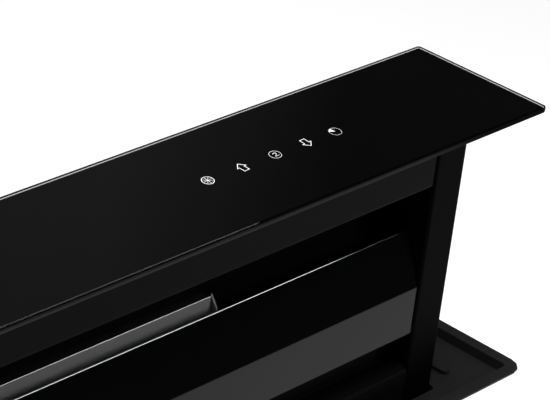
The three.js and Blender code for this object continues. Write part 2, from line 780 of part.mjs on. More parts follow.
// A long wall, drawn at the back: its top flange turns outwards, and upright beads are pressed out of it.
function longWall(beadPlaces) {
  const section = foldedSection([
    [wallY, housingBottom], [wallY, flangeUnder], [wallY + housingFlange, flangeUnder],
  ], sheet);
  const [low, high] = [housingBottom + beadEnd, flangeUnder - beadEnd];
  const bead = (x, face, half, inset) => alongZ(polygon([
    [x - half, face - 1], [x + half, face - 1], [x + half, face], [x + half - beadHeight, face + beadHeight],
    [x - half + beadHeight, face + beadHeight], [x - half, face],
  ]), low + inset, high - inset);
  const outsides = beadPlaces.map((x) => bead(x, wallY, beadWidth / 2, 0));
  const insides = beadPlaces.map((x) => bead(x, wallY - sheet, (beadWidth - sheet) / 2, sheet));
  return cut(join(alongX(section, -wallX, wallX), ...outsides), ...insides);
}

function frontWall() {
  const mouth = rod(inletRadius + scrollWall + 2, -wallY - 5, -wallY + 5, 28, 'y', [scrollX, 0, scrollZ]);
  return cut(longWall([-0.75 * wallX, 0.75 * wallX]).mirror([0, 1, 0]), mouth);
}

function backWall() {
  return longWall([-3, -1, 1, 3].map((step) => (step * wallX) / 4));
}

function endWall() {
  const section = foldedSection(
    [[wallX, housingBottom], [wallX, flangeUnder], [wallX + endFlange, flangeUnder]], sheet);
  const inside = wallY - sheet - clearance;
  const wall = alongY(section, -inside, inside);
  const bushHole = rod(bushRadius, wallX - 5, wallX + 5, 24, 'x', [0, shaftY, shaftZ]);
  return cut(wall, bushHole);
}

function housingFloor() {
  const insideX = wallX - sheet - clearance;
  const insideY = wallY - sheet - clearance;
  const outline = roundedRectangle(-insideX, insideX, -insideY, insideY, bend);
  const outer = alongZ(outline, housingBottom, floorTop + floorRim, 3);
  const hollow = alongZ(roundedRectangle(
    -insideX + sheet, insideX - sheet, -insideY + sheet, insideY - sheet, bend - sheet,
  ), floorTop, floorTop + floorRim + 1, 3);
  return cut(outer, hollow);
}

function floorBracket() {
  const seat = wallX + clearance;
  const noseHeight = 5 * heavySheet;
  const corner = 1.5 * heavySheet;
  const web = polygon([
    [footFront + corner, 0], [footBack - corner, 0], [footBack - corner, noseHeight],
    [wallY, bracketHeight], [-wallY, bracketHeight], [footFront + corner, noseHeight],
  ]);
  const foot = roundedRectangle(seat, seat + footWidth, footFront, footBack, corner - 1);
  return join(alongX(web, seat, seat + heavySheet), alongZ(foot, 0, heavySheet, 2));
}

const clampSlot = { length: 14, width: 7 };

function worktopClamp() {
  const seat = wallX + clearance;
  const section = foldedSection([
    [seat, clampTop - clampHeight], [seat, clampTop], [seat + clampReach, clampTop],
  ], -heavySheet, 1.5 * heavySheet);
  const slotEnd = seat + clampReach - clampSlot.width - 1;
  const half = clampSlot.width / 2;
  const slot = roundedRectangle(slotEnd - clampSlot.length, slotEnd, -half, half, half - 0.1);
  return cut(
    alongY(section, -clampDepth / 2, clampDepth / 2),
    alongZ(slot, clampTop - 2 * heavySheet, clampTop + 1, 3));
}

// ---------------------------------------------------------------- blower
// Spiral from the tongue round to the mouth; `grow` moves the whole outline outwards.
function scrollOutline(grow, mouthX) {
  const lastAngle = -1.5 * Math.PI;
  const firstAngle = Math.asin((exitBottom - grow) / (tongueRadius + grow));
  const steps = 24;
  const points = [];
  for (let step = 0; step <= steps; step += 1) {
    const angle = firstAngle + ((lastAngle - firstAngle) * step) / steps;
    const share = (tongueAngle - angle) / (tongueAngle - lastAngle);
    const radius = tongueRadius + (scrollRadius - tongueRadius) * share + grow;
    points.push([scrollX + radius * Math.cos(angle), scrollZ + radius * Math.sin(angle)]);
  }
  points.push([mouthX, scrollZ + scrollRadius + grow], [mouthX, scrollZ + exitBottom - grow]);
  return polygon(points);
}

function scrollHalf(from, to, floorAtBack) {
  const shell = alongY(scrollOutline(scrollWall, exitX), from, to);
  const inside = floorAtBack ? [from - 1, to - scrollWall] : [from + scrollWall, to + 1];
  const hollow = alongY(scrollOutline(0, exitX + 5), ...inside);
  const flangeAt = floorAtBack ? [from, from + scrollWall] : [to - scrollWall, to];
  const flange = alongY(scrollOutline(scrollFlange, exitX - 6), ...flangeAt);
  return cut(join(shell, flange), hollow);
}

function scrollRear() {
  const half = scrollHalf(scrollSplit + clearance / 2, scrollBack, true);
  const centre = [scrollX, 0, scrollZ];
  const wallInside = scrollBack - scrollWall;
  const bell = turned([
    [inletRadius, wallInside], [inletRadius - 6, wallInside - 11], [inletRadius - 4, wallInside - 12],
    [inletRadius + scrollWall, wallInside - 4], [inletRadius + scrollWall, scrollBack + 3],
    [inletRadius, scrollBack + 3], [inletRadius, wallInside],
  ], 28, 'y', centre);
  const mouth = rod(inletRadius + 1, wallInside - 1, scrollBack + 1, 28, 'y', centre);
  return join(cut(half, mouth), bell);
}

const shaftHole = 12;

function scrollFrontHalf() {
  const half = scrollHalf(scrollFront, scrollSplit - clearance / 2, false);
  const centre = [scrollX, 0, scrollZ];
  const ribs = Array.from({ length: 6 }, (_, index) => {
    const rib = block([motorRadius + 4, tongueRadius + 8], [scrollFront - 3, scrollFront + 1], [-1.5, 1.5]);
    return rib.rotate([0, index * 60 + 15, 0]).translate([scrollX, 0, scrollZ]);
  });
  const ring = tube(motorRadius + 6, motorRadius + 3, scrollFront - 4, scrollFront + 1, 24, 'y', centre);
  const hole = rod(shaftHole, scrollFront - 5, scrollFront + 5, 20, 'y', centre);
  return cut(join(half, ring, ...ribs), hole);
}

function blowerMotor() {
  const centre = [scrollX, 0, scrollZ];
  const body = turned([
    [0, motorFront + 2], [12, motorFront + 2], [12, motorFront], [20, motorFront],
    [motorRadius - 8, motorFront + 5], [motorRadius - 2, motorFront + 12], [motorRadius - 2, motorBack - 6],
    [motorRadius, motorBack - 6], [motorRadius, motorBack], [0, motorBack],
  ], 20, 'y', centre);
  const bore = rod(shaftRadius + clearance, motorBack - 22, motorBack + 1, 16, 'y', centre);
  const slots = Array.from({ length: 8 }, (_, index) => block(
    [motorRadius - 6, motorRadius + 2], [motorFront + 16, motorBack - 12], [-4, 4],
  ).rotate([0, index * 45, 0]).translate([scrollX, 0, scrollZ]));
  return cut(body, bore, ...slots);
}

function blowerShaft() {
  const tail = motorBack - motorLength / 3;
  return rod(shaftRadius, tail, wheelFront + hubLength + 2, 16, 'y', [scrollX, 0, scrollZ]);
}

// Forward-curved sirocco wheel: back disc with its hub, blades bent to an arc, and a shroud ring.
function bladeShape() {
  const inner = wheelRadius - bladeChord;
  const arc = (lift) => [0, 1, 2].map((step) => {
    const share = step / 2;
    const bow = 0.16 * Math.sin(share * Math.PI * 0.5) + 0.05 * share;
    return [inner + bladeChord * share - 0.3, bow * (inner + bladeChord * share) * 0.5 + lift];
  });
  return polygon([...arc(0), ...arc(1.2).reverse()]);
}

function impeller() {
  const wheelBack = wheelFront + wheelWidth;
  const disc = turned([
    [0, wheelFront], [wheelRadius - 0.5, wheelFront], [wheelRadius - 0.5, wheelFront + 1.8],
    [hubFoot, wheelFront + 1.8], [hubRadius, wheelFront + 9],
    [hubRadius, wheelFront + hubLength], [0, wheelFront + hubLength],
  ], bladeCount, 'y');
  const shroud = tube(wheelRadius + 1.5, wheelRadius - 1, wheelBack - 6, wheelBack, bladeCount, 'y');
  const blade = alongY(bladeShape(), wheelFront + 1, wheelBack - 1);
  const blades = Array.from({ length: bladeCount }, (_, index) => (
    blade.rotate([0, (index * 360) / bladeCount, 0])));
  const bore = rod(shaftRadius + clearance, wheelFront - 1, wheelFront + hubLength + 1, 16, 'y');
  return cut(join(disc, shroud, ...blades), bore).translate([scrollX, 0, scrollZ]);
}

// ---------------------------------------------------------------- duct adapter and check flaps
const loftCount = 24;
const mouthHalfY = scrollDepth / 2 - scrollWall;
const mouthHalfZ = (scrollRadius - exitBottom) / 2;
const ductY = -wallY - ductRadius - 5; // the round collar stands clear of the front wall
const flapX = exitX + adapterLength + 14;
const flapPin = 2;
const flapKnuckle = 3.6;
const flapThickness = 1.4;
const knuckleGap = 4; // half the space between the two knuckles
const knuckleLength = 54;

function circleOutline(radius) {
  return Array.from({ length: loftCount }, (_, index) => {
    const angle = (2 * Math.PI * (index + 0.5)) / loftCount;
    return [ductY + radius * Math.cos(angle), exitMiddle + radius * Math.sin(angle)];
  });
}

function rectangleOutline(halfY, halfZ) {
  return Array.from({ length: loftCount }, (_, index) => {
    const angle = (2 * Math.PI * (index + 0.5)) / loftCount;
    const stretch = 1 / Math.max(Math.abs(Math.cos(angle)), Math.abs(Math.sin(angle)));
    return [
      scrollSplit + halfY * Math.cos(angle) * stretch, exitMiddle + halfZ * Math.sin(angle) * stretch,
    ];
  });
}

function outletAdapter() {
  const start = exitX + clearance;
  const neck = exitX + adapterLength;
  const end = neck + collarLength;
  const bead = circleOutline(ductRadius + 1.5);
  const round = circleOutline(ductRadius);
  const bore = circleOutline(ductRadius - collarWall);
  const outside = lofted([
    [start, rectangleOutline(mouthHalfY + collarWall, mouthHalfZ + collarWall)], [neck, round],
    [end - 15, round], [end - 14, bead], [end - 11, bead], [end - 10, round], [end, round],
  ]);
  const mouth = rectangleOutline(mouthHalfY, mouthHalfZ);
  const inside = lofted([[start - 1, mouth], [start, mouth], [neck, bore], [end + 1, bore]]);
  const flange = alongX(roundedRectangle(
    scrollFront - 7, scrollBack, exitMiddle - mouthHalfZ - 8, exitMiddle + mouthHalfZ + 8, 1.9,
  ), start, start + 3, 2);
  const pin = rod(
    flapPin, exitMiddle - ductRadius + 1, exitMiddle + ductRadius - 1, 10, 'z', [flapX, ductY, 0]);
  return join(cut(join(outside, flange), inside), pin);
}

// Half-disc flap on the pin; `side` is +1 for the half towards +Y. Each knuckle holds half of the pin.
function checkFlap(side) {
  const reach = ductRadius - collarWall - 1;
  const half = new THREE.Shape();
  half.absarc(0, 0, reach, -Math.PI / 2, Math.PI / 2);
  const disc = alongX(half, -flapThickness / 2, flapThickness / 2, 12);
  const pinStrip = block([-5, 5], [-5, flapKnuckle + 0.8], [-ductRadius, ductRadius]);
  const [low, high] = [knuckleGap, knuckleGap + knuckleLength].map((end) => side * end)
    .sort((one, other) => one - other);
  const knuckle = tube(flapKnuckle, flapPin + clearance, low, high, 10, 'z');
  const arm = block([-flapThickness / 2, flapThickness / 2], [flapPin + 0.7, flapKnuckle + 2], [low, high]);
  const flap = join(cut(disc, pinStrip), knuckle, arm);
  return (side > 0 ? flap : flap.mirror([0, 1, 0])).translate([flapX, ductY, exitMiddle]);
}

// ---------------------------------------------------------------- electronics
const boxX = [boxCentreX - boxWidth / 2, boxCentreX + boxWidth / 2];
const boxTop = ledgeBottom - boxDrop;
const boxZ = [boxTop - boxHeight, boxTop];
const boxBack = -wallY - clearance;
const boxFront = boxBack - boxDepth;
const boxCorner = 5;
const glandRadius = 6;
const glandY = (boxBack + boxFront) / 2;
const glandZ = (boxZ[0] + boxZ[1]) / 2;

const boxOutline = (inset) => roundedRectangle(
  boxX[0] + inset, boxX[1] - inset, boxZ[0] + inset, boxZ[1] - inset, boxCorner - inset / 4);

function controlBox() {
  const shell = alongY(boxOutline(0), boxFront, boxBack, 2);
  const hollow = alongY(boxOutline(boxWall), boxFront - 1, boxBack - boxWall, 3);
  const glandHole = rod(
    glandRadius, boxX[0] - boxWall, boxX[0] + 2 * boxWall, 20, 'x', [0, glandY, glandZ]);
  return cut(shell, hollow, glandHole);
}

function controlBoxLid() {
  const face = boxFront - clearance;
  const lid = alongY(boxOutline(0), face - boxWall, face, 2);
  const raised = alongY(boxOutline(12), face - 2 * boxWall, face - 1, 3);
  return join(lid, raised);
}

function cableGland() {
  const wall = boxX[0] - clearance;
  const body = turned([
    [3.5, wall - 16], [6, wall - 16], [7.5, wall - 12], [7.5, wall - 6], [9, wall - 5.5], [9, wall],
    [glandRadius - clearance, wall], [glandRadius - clearance, boxX[0] + 3 * boxWall],
    [3.5, boxX[0] + 3 * boxWall], [3.5, wall - 16],
  ], 12, 'x', [0, glandY, glandZ]);
  return body;
}

// ---------------------------------------------------------------- assembly
const group = new THREE.Group();
const frontReach = motorFront;
const rearReach = Math.max(frameY, wallY + housingFlange, footBack);
group.position.set(0, -(frontReach + rearReach) / 2, 0);

function place(name, solid, material) {
  const mesh = new THREE.Mesh(geometryOf(solid), material());
  mesh.name = name;
  group.add(mesh);
}

function placePair(name, solid, material) {
  place(`right_${name}`, solid, material);
  place(`left_${name}`, solid.mirror([1, 0, 0]), material);
}

place('top_glass', topGlass(), blackGlass);
place('head_channel', headChannel(), satinBlack);
place('head_cover', headCover(), satinBlack);
place('led_lens', ledLens(), lensPlastic);
place('touch_board', touchBoard(), circuitGreen);
placePair('head_bracket', headBracket(), galvanised);

placePair('post', post(), satinBlack);
place('back_panel', backPanel(), satinBlack);
place('front_sill', frontSill(), satinBlack);
place('front_panel', frontPanel(), glossBlack);
placePair('panel_pin', panelPin(), steel);
placePair('panel_catch', panelCatch(), blackPlastic);
place('filter_carrier', filterCarrier(), satinBlack);
place('filter_rail', filterRail(), satinBlack);
place('filter_frame', filterFrame(), brushedSteel);
place('filter_core', filterCore(), meshAluminium);

placePair('rack', rack(), greyPlastic);
placePair('lift_pinion', liftPinion(), whitePlastic);
place('cross_shaft', crossShaft(), steel);
placePair('shaft_bush', shaftBush(), whitePlastic);
place('drive_gear', driveGear(), whitePlastic);
place('motor_gear', motorGear(), steel);
place('lift_motor', liftMotor(), steel);
place('motor_bracket', motorBracket(), galvanised);
placePair('guide_rail', guideRail(), galvanised);
placePair('upper_shoe', guideShoe(upperShoeZ), whitePlastic);
placePair('lower_shoe', guideShoe(lowerShoeZ), whitePlastic);

place('worktop_frame', worktopFrame(), satinBlack);
placePair('rest_pad', restPad(), rubber);
place('front_wall', frontWall(), galvanised);
place('back_wall', backWall(), galvanised);
placePair('end_wall', endWall(), galvanised);
place('housing_floor', housingFloor(), galvanised);
placePair('floor_bracket', floorBracket(), galvanised);
placePair('worktop_clamp', worktopClamp(), galvanised);

place('scroll_rear', scrollRear(), blackPlastic);
place('scroll_front', scrollFrontHalf(), blackPlastic);
place('impeller', impeller(), greyPlastic);
place('blower_shaft', blowerShaft(), steel);
place('blower_motor', blowerMotor(), steel);
place('outlet_adapter', outletAdapter(), blackPlastic);
place('check_flap_rear', checkFlap(1), greyPlastic);
place('check_flap_front', checkFlap(-1), greyPlastic);

place('control_box', controlBox(), blackPlastic);
place('control_box_lid', controlBoxLid(), blackPlastic);
place('cable_gland', cableGland(), blackPlastic);

export default group;
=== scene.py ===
import json
import math

import bmesh
import bpy
from mathutils import Matrix, Vector


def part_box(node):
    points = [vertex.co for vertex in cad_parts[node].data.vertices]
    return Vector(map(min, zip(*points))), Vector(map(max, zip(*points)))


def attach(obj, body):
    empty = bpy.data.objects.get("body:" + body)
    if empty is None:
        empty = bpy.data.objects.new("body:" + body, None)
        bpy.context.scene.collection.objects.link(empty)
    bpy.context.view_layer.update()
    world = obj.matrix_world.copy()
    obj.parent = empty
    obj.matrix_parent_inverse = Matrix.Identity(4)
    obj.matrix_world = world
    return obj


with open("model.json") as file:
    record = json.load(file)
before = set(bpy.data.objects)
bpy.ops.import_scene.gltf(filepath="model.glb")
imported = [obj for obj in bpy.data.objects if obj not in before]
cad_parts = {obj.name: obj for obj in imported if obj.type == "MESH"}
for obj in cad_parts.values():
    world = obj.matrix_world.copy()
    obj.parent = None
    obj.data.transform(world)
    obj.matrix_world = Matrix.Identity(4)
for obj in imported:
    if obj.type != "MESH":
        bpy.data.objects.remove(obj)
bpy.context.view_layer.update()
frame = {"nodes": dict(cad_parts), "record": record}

MM = 0.001


def corners(node):
    """The low corner, the high corner and the middle of a CAD node."""
    low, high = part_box(node)
    return low, high, (low + high) / 2


glass_low, glass_high, glass_middle = corners("top_glass")
filter_high = corners("filter_frame")[1]

# The glass's ground edge between its two polished arrises: how high it is, and where its middle lies.
GROUND_EDGE = 3.3 * MM
GROUND_MIDDLE = glass_middle.z - 0.25 * MM

# The filter leans back. FILTER_TOP is the middle of the top edge of its front face.
FILTER_LEAN = math.radians(11)
FILTER_TOP = Vector((0, glass_middle.y - 10 * MM, glass_high.z - 84.3 * MM))
CHEEK_EDGE = 1.1 * MM  # how far in from its ends the cheeks' outer edges reach

# ---------------------------------------------------------------- camera
# Worked out from the straight edges of the glass, tower and frame in the photograph.
YAW = math.radians(49.53)
PITCH = math.radians(27.72)
ROLL = math.radians(6.8)
FROM_CORNER = Vector((-1.3886, -0.94275, 0.7759))  # from the glass's front right top corner

camera = bpy.data.objects.new("camera", bpy.data.cameras.new("camera"))
bpy.context.scene.collection.objects.link(camera)
camera.data.sensor_width = 36
camera.data.lens = 169.67
camera.data.clip_end = 100
camera.location = Vector((glass_high.x, glass_low.y, glass_high.z)) + FROM_CORNER
turned = Matrix.Rotation(-YAW, 3, "Z") @ Matrix.Rotation(math.pi / 2 - PITCH, 3, "X")
camera.rotation_euler = (turned @ Matrix.Rotation(ROLL, 3, "Z")).to_euler()
bpy.context.scene.camera = camera


# ---------------------------------------------------------------- materials
class Value:
    """A socket of a finish. Sums and products with it add Math nodes."""

    def __init__(self, finish, socket):
        self.finish = finish
        self.socket = socket

    def math(self, operation, *others):
        return self.finish.node("Math", {"operation": operation}, dict(enumerate((self, *others))))

    def __add__(self, other):
        return self.math("ADD", other)

    def __sub__(self, other):
        return self.math("SUBTRACT", other)

    def __rsub__(self, other):
        return self.math("MULTIPLY", -1) + other

    def __mul__(self, other):
        return self.math("MULTIPLY", other)

    def __truediv__(self, other):
        return self.math("DIVIDE", other)

    __radd__ = __add__
    __rmul__ = __mul__

    def absolute(self):
        return self.math("ABSOLUTE")

    def above(self, limit):
        return self.math("GREATER_THAN", limit)


class Finish:
    """A node material, or the world's nodes. node() adds any node: settings first, then values or links."""

    def __init__(self, name, tree=None):
        if tree is None:
            self.material = bpy.data.materials.new(name)
            self.material.use_nodes = True
            tree = self.material.node_tree
        self.tree = tree
        self.tree.nodes.clear()

    def node(self, kind, settings=None, sockets=None, out=0):
        made = self.tree.nodes.new("ShaderNode" + kind)
        for key, value in (settings or {}).items():
            if key == "stops":
                for _ in value[2:]:
                    made.color_ramp.elements.new(0.5)
                for element, (place, level) in zip(made.color_ramp.elements, value):
                    element.position = place
                    element.color = grey(level)
            else:
                setattr(made, key, value)
        for key, value in (sockets or {}).items():
            if isinstance(value, Value):
                self.tree.links.new(made.inputs[key], value.socket)
            else:
                made.inputs[key].default_value = value
        return Value(self, made.outputs[out]) if made.outputs else None

    def place(self):
        return self.node("TexCoord", out="Object")

    def along(self, axis):
        """How far the surface lies along one axis."""
        return self.node("SeparateXYZ", {}, {"Vector": self.place()}, out=axis)

    def noise(self, scale, detail=2.0, vector=None):
        sockets = {"Vector": vector or self.place(), "Scale": scale, "Detail": detail}
        return self.node("TexNoise", {}, sockets)

    def brushing(self, along, across, detail=3.0):
        """Noise drawn out into strokes that run along X."""
        stretched = self.node("VectorMath", {"operation": "MULTIPLY"},
                              {0: self.place(), 1: (along, across, across)})
        return self.noise(1, detail, stretched)

    def blend(self, share, first, second, mode="MIX"):
        sockets = {"Factor": share, 6: first, 7: second}
        return self.node("Mix", {"data_type": "RGBA", "blend_type": mode}, sockets, out=2)

    def clamped(self, value):
        return self.node("Clamp", {}, {"Value": value})

    def bump(self, height, distance):
        return self.node("Bump", {}, {"Height": height, "Distance": distance})

    def surface(self, **sockets):
        """The Principled shader and the output; a keyword's underscores stand for spaces."""
        named = {key.replace("_", " "): value for key, value in sockets.items()}
        shader = self.node("BsdfPrincipled", {}, named)
        self.node("OutputMaterial", {}, {"Surface": shader})
        return self.material


def grey(level, tint=0.0):
    return (level, level, level * (1 + tint), 1)


def polished_glass():
    """Dark tinted glass. Its upright edge is ground and inked black, with a painted highlight that makes it a
    little paler towards its foot.
    """
    f = Finish("polished_glass")
    smudge = f.noise(14, 3)
    rise = f.along("Z") - GROUND_MIDDLE
    ground = 1 - rise.absolute().above(GROUND_EDGE / 2)
    # Painted highlight: the ink turns paler towards the edge's foot, in place of the floor's reflection in
    # the lower arris.
    ink_and_painted_highlight = f.blend(0.5 - rise / GROUND_EDGE, grey(0.001), grey(0.006))
    return f.surface(
        Base_Color=f.blend(ground, f.blend(f.noise(3), grey(0.3), grey(0.34)), ink_and_painted_highlight), Metallic=ground,
        Roughness=smudge * 0.03 + ground * 0.35, Transmission_Weight=1.0, IOR=1.5)


def edge_ink_painted_highlight():
    """Matt ink on the ground edge, with a painted highlight that makes it paler towards its foot, but not
    within 65 mm of the glass's ends.
    """
    f = Finish("edge_ink_painted_highlight")
    rise = f.along("Z") - GROUND_MIDDLE
    # How far the painted highlight reaches: it fades out within 65 mm of the glass's ends.
    highlight_reach = f.clamped((glass_high.x - 65 * MM - f.along("X").absolute()) * 14)
    speckle = f.noise(1200) * 0.2 + 0.4
    return f.surface(
        Base_Color=f.blend((speckle - rise / GROUND_EDGE) * highlight_reach, grey(0.01), grey(0.075)),
        Roughness=0.6 + speckle * 0.2, Specular_IOR_Level=0.0)


def black_print():
    f = Finish("black_print")
    return f.surface(
        Base_Color=f.blend(f.noise(30), grey(0.0015), grey(0.003)), Roughness=0.5 + f.noise(200) * 0.1,
        Specular_IOR_Level=0.0)


def white_print_painted_glow():
    f = Finish("white_print_painted_glow")
    # Painted glow: the white print gets emission, standing in for light, so the symbols look bright through
    # the tinted glass.
    return f.surface(
        Base_Color=f.blend(f.noise(900), grey(0.8), grey(0.86)), Roughness=0.6 + f.noise(900) * 0.1,
        Emission_Color=f.blend(f.noise(900), grey(0.9), grey(1.0)), Emission_Strength=2.8)


def powder_coat(name, low, high, roughness, shine):
    f = Finish(name)
    grain = f.noise(1500, 2)
    return f.surface(
        Base_Color=f.blend(f.noise(60, 4), grey(low), grey(high)), Roughness=roughness + grain * 0.12,
        Specular_IOR_Level=shine, Normal=f.bump(grain, 0.00004))


def gloss_enamel():
    f = Finish("gloss_enamel")
    peel = f.noise(220, 1)
    return f.surface(
        Base_Color=f.blend(f.noise(40), grey(0.0025), grey(0.004)), Roughness=0.04 + f.noise(12, 3) * 0.05,
        Specular_IOR_Level=0.13, Normal=f.bump(peel, 0.00001))


def mesh_aluminium():
    f = Finish("mesh_aluminium")
    grain = f.brushing(30, 2500)
    tone = f.blend(grain * 0.6 + f.noise(25, 3) * 0.4, grey(0.46, 0.02), grey(0.62, 0.02))
    return f.surface(
        Base_Color=tone, Metallic=1.0, Roughness=0.3 + grain * 0.15, Normal=f.bump(grain, 0.00002))


def filter_steel():
    """Brushed bright steel in front and inside the end cheeks; the flanges and the cheeks' outer edges are
    painted dark grey as painted shade.
    """
    f = Finish("filter_steel")
    grain = f.brushing(30, 2500)
    inward = Vector((0, math.cos(FILTER_LEAN), -math.sin(FILTER_LEAN)))
    depth = f.node("VectorMath", {"operation": "DOT_PRODUCT"}, {0: f.place(), 1: inward}, out="Value")
    behind_face = depth.above(inward.dot(FILTER_TOP) + 0.4 * MM)
    # Painted shade: the flanges behind the face and the cheeks' outer edges get a dark grey in place of the
    # steel's tone.
    painted_shade = behind_face + f.along("X").absolute().above(filter_high.x - CHEEK_EDGE)
    bright = f.blend(grain * 0.6 + f.noise(25, 3) * 0.4, grey(0.64, 0.02), grey(0.8, 0.02))
    return f.surface(
        Base_Color=f.blend(painted_shade.above(0.5), bright, grey(0.15)), Metallic=1.0,
        Roughness=0.46 + grain * 0.15, Normal=f.bump(grain, 0.00002))


def polished_trim():
    f = Finish("polished_trim")
    grain = f.brushing(20, 1800, 2)
    return f.surface(
        Base_Color=f.blend(f.noise(18), grey(0.5, 0.02), grey(0.58, 0.02)), Metallic=1.0,
        Roughness=0.05 + grain * 0.04, Normal=f.bump(grain, 0.000004))


def galvanised_sheet():
    f = Finish("galvanised_sheet")
    spangle = f.node("TexVoronoi", {}, {"Vector": f.place(), "Scale": 110.0}, out="Color")
    share = f.node("SeparateColor", {}, {"Color": spangle})
    cloud = f.noise(18, 4)
    return f.surface(
        Base_Color=f.blend(share * 0.5 + cloud * 0.5, grey(0.36, 0.05), grey(0.56, 0.05)), Metallic=1.0,
        Roughness=0.34 + share * 0.16 + cloud * 0.06, Normal=f.bump(share, 0.000015))


def turned_steel():
    f = Finish("turned_steel")
    grain = f.noise(2200, 2)
    return f.surface(
        Base_Color=f.blend(f.noise(60, 3), grey(0.33, 0.02), grey(0.48, 0.02)), Metallic=1.0,
        Roughness=0.24 + grain * 0.14, Normal=f.bump(grain, 0.00001))


def moulded(name, low, high, roughness=0.5, shine=0.4):
    f = Finish(name)
    spark = f.noise(2400, 2)
    cloud = f.noise(30, 3)
    return f.surface(
        Base_Color=f.blend(cloud, grey(low, -0.02), grey(high, -0.02)), Roughness=roughness + spark * 0.14,
        Specular_IOR_Level=shine, Normal=f.bump(spark, 0.00003))


def circuit_lacquer():
    f = Finish("circuit_lacquer")
    tracks = f.node("TexBrick", {"offset": 0.35}, {
        "Vector": f.place(), "Color1": (0.01, 0.11, 0.05, 1), "Color2": (0.012, 0.13, 0.06, 1),
        "Mortar": (0.03, 0.2, 0.09, 1), "Scale": 300.0, "Mortar Size": 0.03})
    return f.surface(Base_Color=tracks, Roughness=0.3 + f.noise(80) * 0.1)


def frosted_lens():
    f = Finish("frosted_lens")
    frost = f.noise(1800, 2)
    return f.surface(
        Base_Color=f.blend(f.noise(40), grey(0.78), grey(0.86)), Roughness=0.45 + frost * 0.15,
        Transmission_Weight=0.35, IOR=1.49, Normal=f.bump(frost, 0.00002))


FINISHES = {
    "glass": polished_glass(),
    "print": black_print(),
    "edge": edge_ink_painted_highlight(),
    "symbols": white_print_painted_glow(),
    "satin": powder_coat("satin_black", 0.0035, 0.006, 0.42, 0.025),
    # The posts' darker copy of the satin black is painted shade: the shade the glass's overhang casts on
    # them.
    "post": powder_coat("post_black_painted_shade", 0.0015, 0.0028, 0.42, 0.012),
    "trim": powder_coat("trim_black", 0.015, 0.022, 0.34, 0.2),
    "gloss": gloss_enamel(),
    "filter": filter_steel(),
    "mesh": mesh_aluminium(),
    "lip": polished_trim(),
    "sheet": galvanised_sheet(),
    "steel": turned_steel(),
    "black": moulded("moulded_black", 0.012, 0.02),
    "grey": moulded("moulded_grey", 0.09, 0.12),
    "white": moulded("moulded_white", 0.62, 0.7, 0.38),
    "rubber": moulded("rubber_black", 0.01, 0.018, 0.75, 0.2),
    "board": circuit_lacquer(),
    "lens": frosted_lens(),
}

# Which finish a CAD node gets: by its slot in the record, or by its own name where it differs from that.
BY_SLOT = {
    "black_glass": "glass", "satin_black_steel": "satin", "gloss_black_steel": "gloss",
    "brushed_steel": "filter", "filter_mesh": "mesh", "galvanised_steel": "sheet", "turned_steel": "steel",
    "black_plastic": "black", "grey_plastic": "grey", "white_plastic": "white", "rubber": "rubber",
    "circuit_board": "board", "lens": "lens",
}
# The posts take the darker copy of the satin black, as painted shade.
BY_NODE = {
    "worktop_frame": "trim", "right_panel_pin": "satin", "left_panel_pin": "satin", "right_post": "post",
    "left_post": "post",
}

for part in frame["record"]["subparts"]:
    finish = BY_NODE.get(part["node"], BY_SLOT[part["material_slot"]])
    materials = frame["nodes"][part["node"]].data.materials
    materials.clear()
    materials.append(FINISHES[finish])


# ---------------------------------------------------------------- drawing
TURN = 2 * math.pi


def finished(name, shape, finish, body, smooth=0.6):
    """Makes a bmesh, drawn in place, a piece that rides on a body. Edges over `smooth` radians stay sharp."""
    bmesh.ops.remove_doubles(shape, verts=shape.verts, dist=1e-6)
    bmesh.ops.recalc_face_normals(shape, faces=shape.faces)
    mesh = bpy.data.meshes.new(name)
    shape.to_mesh(mesh)
    shape.free()
    mesh.materials.append(FINISHES[finish])
    for face in mesh.polygons:
        face.use_smooth = True
    mesh.set_sharp_from_angle(angle=smooth)
    piece = bpy.data.objects.new(name, mesh)
    bpy.context.scene.collection.objects.link(piece)
    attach(piece, body)


def verts_of(geometry):
    return [part for part in geometry if isinstance(part, bmesh.types.BMVert)]


def slab(shape, low, high):
    """A box between two corners."""
    size = Vector(high) - Vector(low)
    centre = (Vector(low) + Vector(high)) / 2
    bmesh.ops.create_cube(shape, size=1, matrix=Matrix.Translation(centre) @ Matrix.Diagonal((*size, 1)))


def spun(shape, profile, steps):
    """Spins a profile of (radius, height), in millimetres, once round Z."""
    verts = [shape.verts.new((radius * MM, 0, height * MM)) for radius, height in profile]
    edges = [shape.edges.new(pair) for pair in zip(verts, verts[1:])]
    bmesh.ops.spin(shape, geom=verts + edges, cent=(0, 0, 0), axis=(0, 0, 1), angle=TURN, steps=steps,
                   use_merge=True)


def round_bar(name, start, length, radius, steps, body):
    """A polished round bar that runs along X."""
    shape = bmesh.new()
    bmesh.ops.create_circle(shape, cap_ends=False, radius=radius, segments=steps,
                            matrix=Matrix.Translation(start) @ Matrix.Rotation(math.pi / 2, 4, "Y"))
    face = shape.faces.new(shape.verts[:])
    made = bmesh.ops.extrude_face_region(shape, geom=[face])["geom"]
    bmesh.ops.translate(shape, vec=(length, 0, 0), verts=verts_of(made))
    finished(name, shape, "lip", body, smooth=0.9)


# ---------------------------------------------------------------- fasteners
CROSS_WEB = 0.42  # how far out a cross recess reaches between its arms, as a share of their reach


